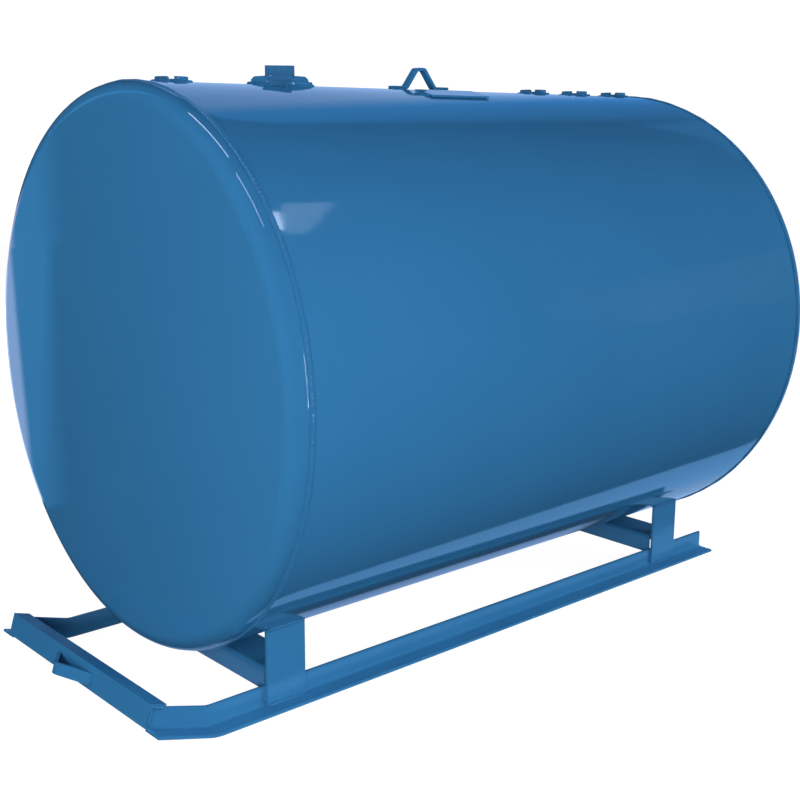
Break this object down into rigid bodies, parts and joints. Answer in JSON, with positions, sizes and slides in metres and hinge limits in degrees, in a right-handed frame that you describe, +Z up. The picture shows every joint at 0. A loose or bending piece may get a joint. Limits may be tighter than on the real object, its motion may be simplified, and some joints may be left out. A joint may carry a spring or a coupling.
{
  "type": "skid tank",
  "caption": "Horizontal cylindrical steel storage tank with flat flanged heads, plugged crown fittings and a lifting lug, on angle-iron towing runners.",
  "frame": {"origin": "middle of the whole object's footprint, on the floor under the runners", "axes": "+X along the tank from the tow end to the rear, +Y across the skid, +Z up"},
  "size_m": [1.9107, 1.224, 1.3625],
  "materials": {
    "tank_paint": "gloss",
    "skid_paint": "gloss",
    "fitting_paint": "gloss"
  },
  "bodies": {
    "root": {"shell": "tank_paint", "front_head": "tank_paint", "rear_head": "tank_paint", "front_weld": "tank_paint", "rear_weld": "tank_paint", "left_runner": "skid_paint", "right_runner": "skid_paint", "tow_bar": "skid_paint", "tow_loop": "skid_paint", "front_channel": "skid_paint", "rear_channel": "skid_paint", "front_left_leg": "skid_paint", "front_right_leg": "skid_paint", "rear_left_leg": "skid_paint", "rear_right_leg": "skid_paint", "lifting_lug": "fitting_paint", "crown_plate": "fitting_paint", "fill_spud": "fitting_paint", "fill_bushing": "fitting_paint", "fill_plug": "fitting_paint", "spud_1": "fitting_paint", "spud_2": "fitting_paint", "spud_3": "fitting_paint", "spud_4": "fitting_paint", "plug_1": "fitting_paint", "plug_2": "fitting_paint", "plug_3": "fitting_paint", "plug_4": "fitting_paint"}
  },
  "joints": []
}
